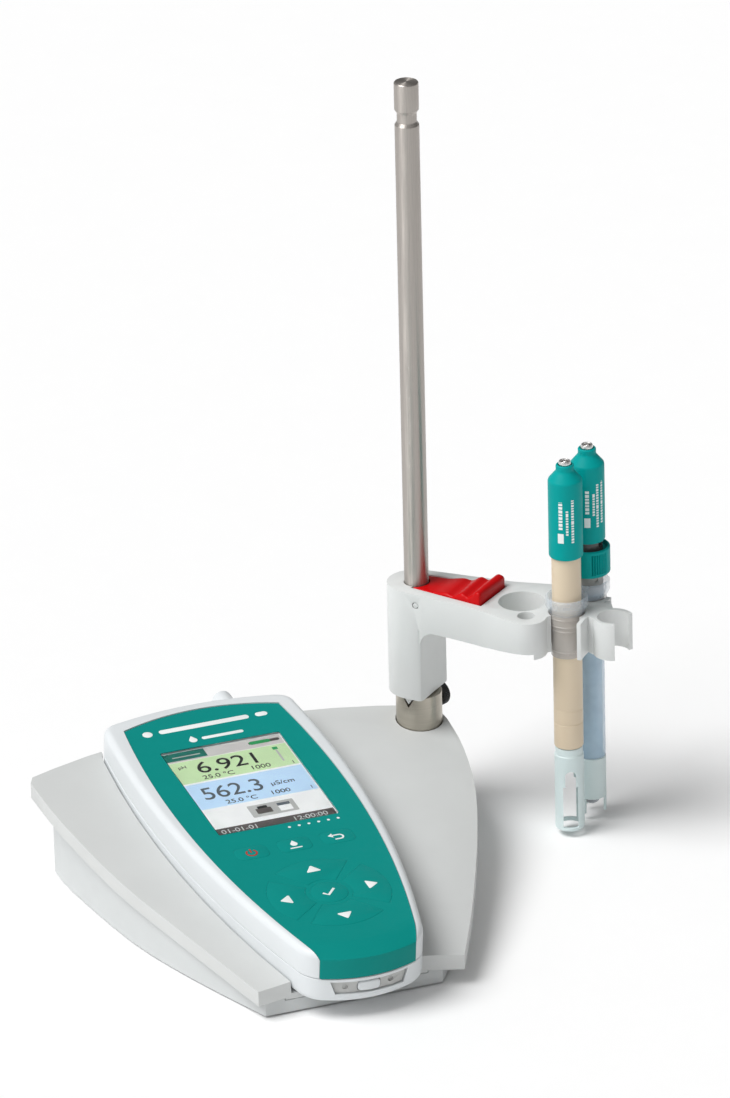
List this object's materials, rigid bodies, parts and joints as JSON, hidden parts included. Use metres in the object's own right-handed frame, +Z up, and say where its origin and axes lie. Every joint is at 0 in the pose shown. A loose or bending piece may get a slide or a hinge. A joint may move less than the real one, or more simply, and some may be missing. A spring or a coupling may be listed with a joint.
{
  "type": "ph meter",
  "caption": "Hand-held meter with colour display and keypad lying in a weighted base, with a stand rod and a clip arm that holds two electrodes.",
  "frame": {"origin": "centre of the whole object's plan, on the surface that it stands on", "axes": "+X to the right of the instrument, towards the stand rod; +Y from the keypad to the sockets; +Z up"},
  "size_m": [0.2356, 0.209, 0.3186],
  "materials": {
    "grey_plastic": "fine satin moulding",
    "white_plastic": "fine satin moulding",
    "teal_panel": "printed satin foil",
    "teal_plastic": "satin moulding",
    "red_plastic": "glossy moulding",
    "steel": "brushed",
    "nickel": "satin nickel plating",
    "black_plastic": "knurled or matt",
    "rubber": "matt",
    "glass": "clear",
    "clear_plastic": "clear",
    "peek": "satin",
    "guard_plastic": "translucent satin",
    "frosted_plastic": "translucent matt",
    "circuit_board": "green laminate",
    "display": "backlit colour display"
  },
  "bodies": {
    "base": {"base_cover": "grey_plastic", "base_skirt": "white_plastic", "base_weight": "steel", "foot_front_left": "rubber", "foot_front_right": "rubber", "foot_rear_left": "rubber", "foot_rear_right": "rubber", "stand_rod": "steel", "rod_bolt": "steel"},
    "meter": {"lower_case": "white_plastic", "upper_case": "white_plastic", "case_seal": "rubber", "front_panel": "teal_panel", "display_window": "clear_plastic", "lcd_module": "display", "main_board": "circuit_board", "keypad_mat": "rubber", "battery_pack": "black_plastic", "battery_cover": "white_plastic", "end_panel": "grey_plastic", "socket_ph": "white_plastic", "socket_cell": "nickel", "socket_usb": "nickel", "case_screw_1": "steel", "case_screw_2": "steel", "case_screw_3": "steel", "case_screw_4": "steel"},
    "key_power": {"key_power": "teal_panel"},
    "key_cal": {"key_cal": "teal_panel"},
    "key_back": {"key_back": "teal_panel"},
    "key_up": {"key_up": "teal_panel"},
    "key_left": {"key_left": "teal_panel"},
    "key_ok": {"key_ok": "teal_panel"},
    "key_right": {"key_right": "teal_panel"},
    "key_down": {"key_down": "teal_panel"},
    "end_button": {"end_button": "white_plastic"},
    "ring": {"stop_ring": "nickel"},
    "ring_screw": {"ring_screw": "black_plastic"},
    "arm": {"holder_arm": "white_plastic", "lever_pin_front": "white_plastic", "lever_pin_rear": "white_plastic", "lever_spring": "steel"},
    "lever": {"release_lever": "red_plastic"},
    "sleeve_cell": {"sleeve_cell": "clear_plastic"},
    "sleeve_ph": {"sleeve_ph": "clear_plastic"},
    "cell_electrode": {"cell_head": "teal_plastic", "cell_socket": "nickel", "cell_shaft": "peek", "cell_guard": "guard_plastic", "cell_core": "black_plastic"},
    "ph_electrode": {"ph_head": "teal_plastic", "ph_socket": "nickel", "ph_filler_neck": "frosted_plastic", "ph_shaft": "glass", "ph_inner_tube": "glass", "ph_diaphragm": "guard_plastic", "ph_guard": "guard_plastic", "ph_bulb": "glass"},
    "filler_ring": {"ph_filler_ring": "teal_plastic"}
  },
  "joints": [
    {"name": "meter_lift", "type": "slide", "parent": "base", "child": "meter", "axis": [0, -0.1142, 0.9935], "range_m": [0, 0.1]},
    {"name": "key_power_press", "type": "slide", "parent": "meter", "child": "key_power", "axis": [0, 0.1142, -0.9935], "range_m": [0, 0.0005], "stiffness_N_per_m": 600, "springref_m": -0.001},
    {"name": "key_cal_press", "type": "slide", "parent": "meter", "child": "key_cal", "axis": [0, 0.1142, -0.9935], "range_m": [0, 0.0005], "stiffness_N_per_m": 600, "springref_m": -0.001},
    {"name": "key_back_press", "type": "slide", "parent": "meter", "child": "key_back", "axis": [0, 0.1142, -0.9935], "range_m": [0, 0.0005], "stiffness_N_per_m": 600, "springref_m": -0.001},
    {"name": "key_up_press", "type": "slide", "parent": "meter", "child": "key_up", "axis": [0, 0.1142, -0.9935], "range_m": [0, 0.0005], "stiffness_N_per_m": 600, "springref_m": -0.001},
    {"name": "key_left_press", "type": "slide", "parent": "meter", "child": "key_left", "axis": [0, 0.1142, -0.9935], "range_m": [0, 0.0005], "stiffness_N_per_m": 600, "springref_m": -0.001},
    {"name": "key_ok_press", "type": "slide", "parent": "meter", "child": "key_ok", "axis": [0, 0.1142, -0.9935], "range_m": [0, 0.0005], "stiffness_N_per_m": 600, "springref_m": -0.001},
    {"name": "key_right_press", "type": "slide", "parent": "meter", "child": "key_right", "axis": [0, 0.1142, -0.9935], "range_m": [0, 0.0005], "stiffness_N_per_m": 600, "springref_m": -0.001},
    {"name": "key_down_press", "type": "slide", "parent": "meter", "child": "key_down", "axis": [0, 0.1142, -0.9935], "range_m": [0, 0.0005], "stiffness_N_per_m": 600, "springref_m": -0.001},
    {"name": "end_button_press", "type": "slide", "parent": "meter", "child": "end_button", "axis": [0, 0.9935, 0.1142], "range_m": [0, 0.001], "stiffness_N_per_m": 500, "springref_m": -0.001},
    {"name": "arm_swing", "type": "hinge", "parent": "base", "child": "ring", "pos_m": [0.04977, 0.07408, 0.042], "axis": [0, 0, 1], "range_deg": [-25, 120]},
    {"name": "ring_screw_turn", "type": "hinge", "parent": "ring", "child": "ring_screw", "pos_m": [0.06056, 0.07934, 0.0446], "axis": [0.8988, 0.4384, 0], "range_deg": [-180, 180]},
    {"name": "arm_height", "type": "slide", "parent": "ring", "child": "arm", "axis": [0, 0, 1], "range_m": [0, 0.19]},
    {"name": "lever_press", "type": "hinge", "parent": "arm", "child": "lever", "pos_m": [0.05325, 0.07008, 0.0939], "axis": [0.7547, 0.6561, 0], "range_deg": [0, 2.8], "stiffness_Nm_per_rad": 0.5, "springref_deg": -8.59, "deforming": ["lever_spring"]},
    {"name": "sleeve_cell_lift", "type": "slide", "parent": "arm", "child": "sleeve_cell", "axis": [0, 0, 1], "range_m": [0, 0.03]},
    {"name": "sleeve_ph_lift", "type": "slide", "parent": "arm", "child": "sleeve_ph", "axis": [0, 0, 1], "range_m": [0, 0.03]},
    {"name": "cell_electrode_lift", "type": "slide", "parent": "sleeve_cell", "child": "cell_electrode", "axis": [0, 0, 1], "range_m": [0, 0.075]},
    {"name": "ph_electrode_lift", "type": "slide", "parent": "sleeve_ph", "child": "ph_electrode", "axis": [0, 0, 1], "range_m": [0, 0.075]},
    {"name": "filler_ring_slide", "type": "slide", "parent": "ph_electrode", "child": "filler_ring", "axis": [0, 0, 1], "range_m": [0, 0.0022]}
  ]
}
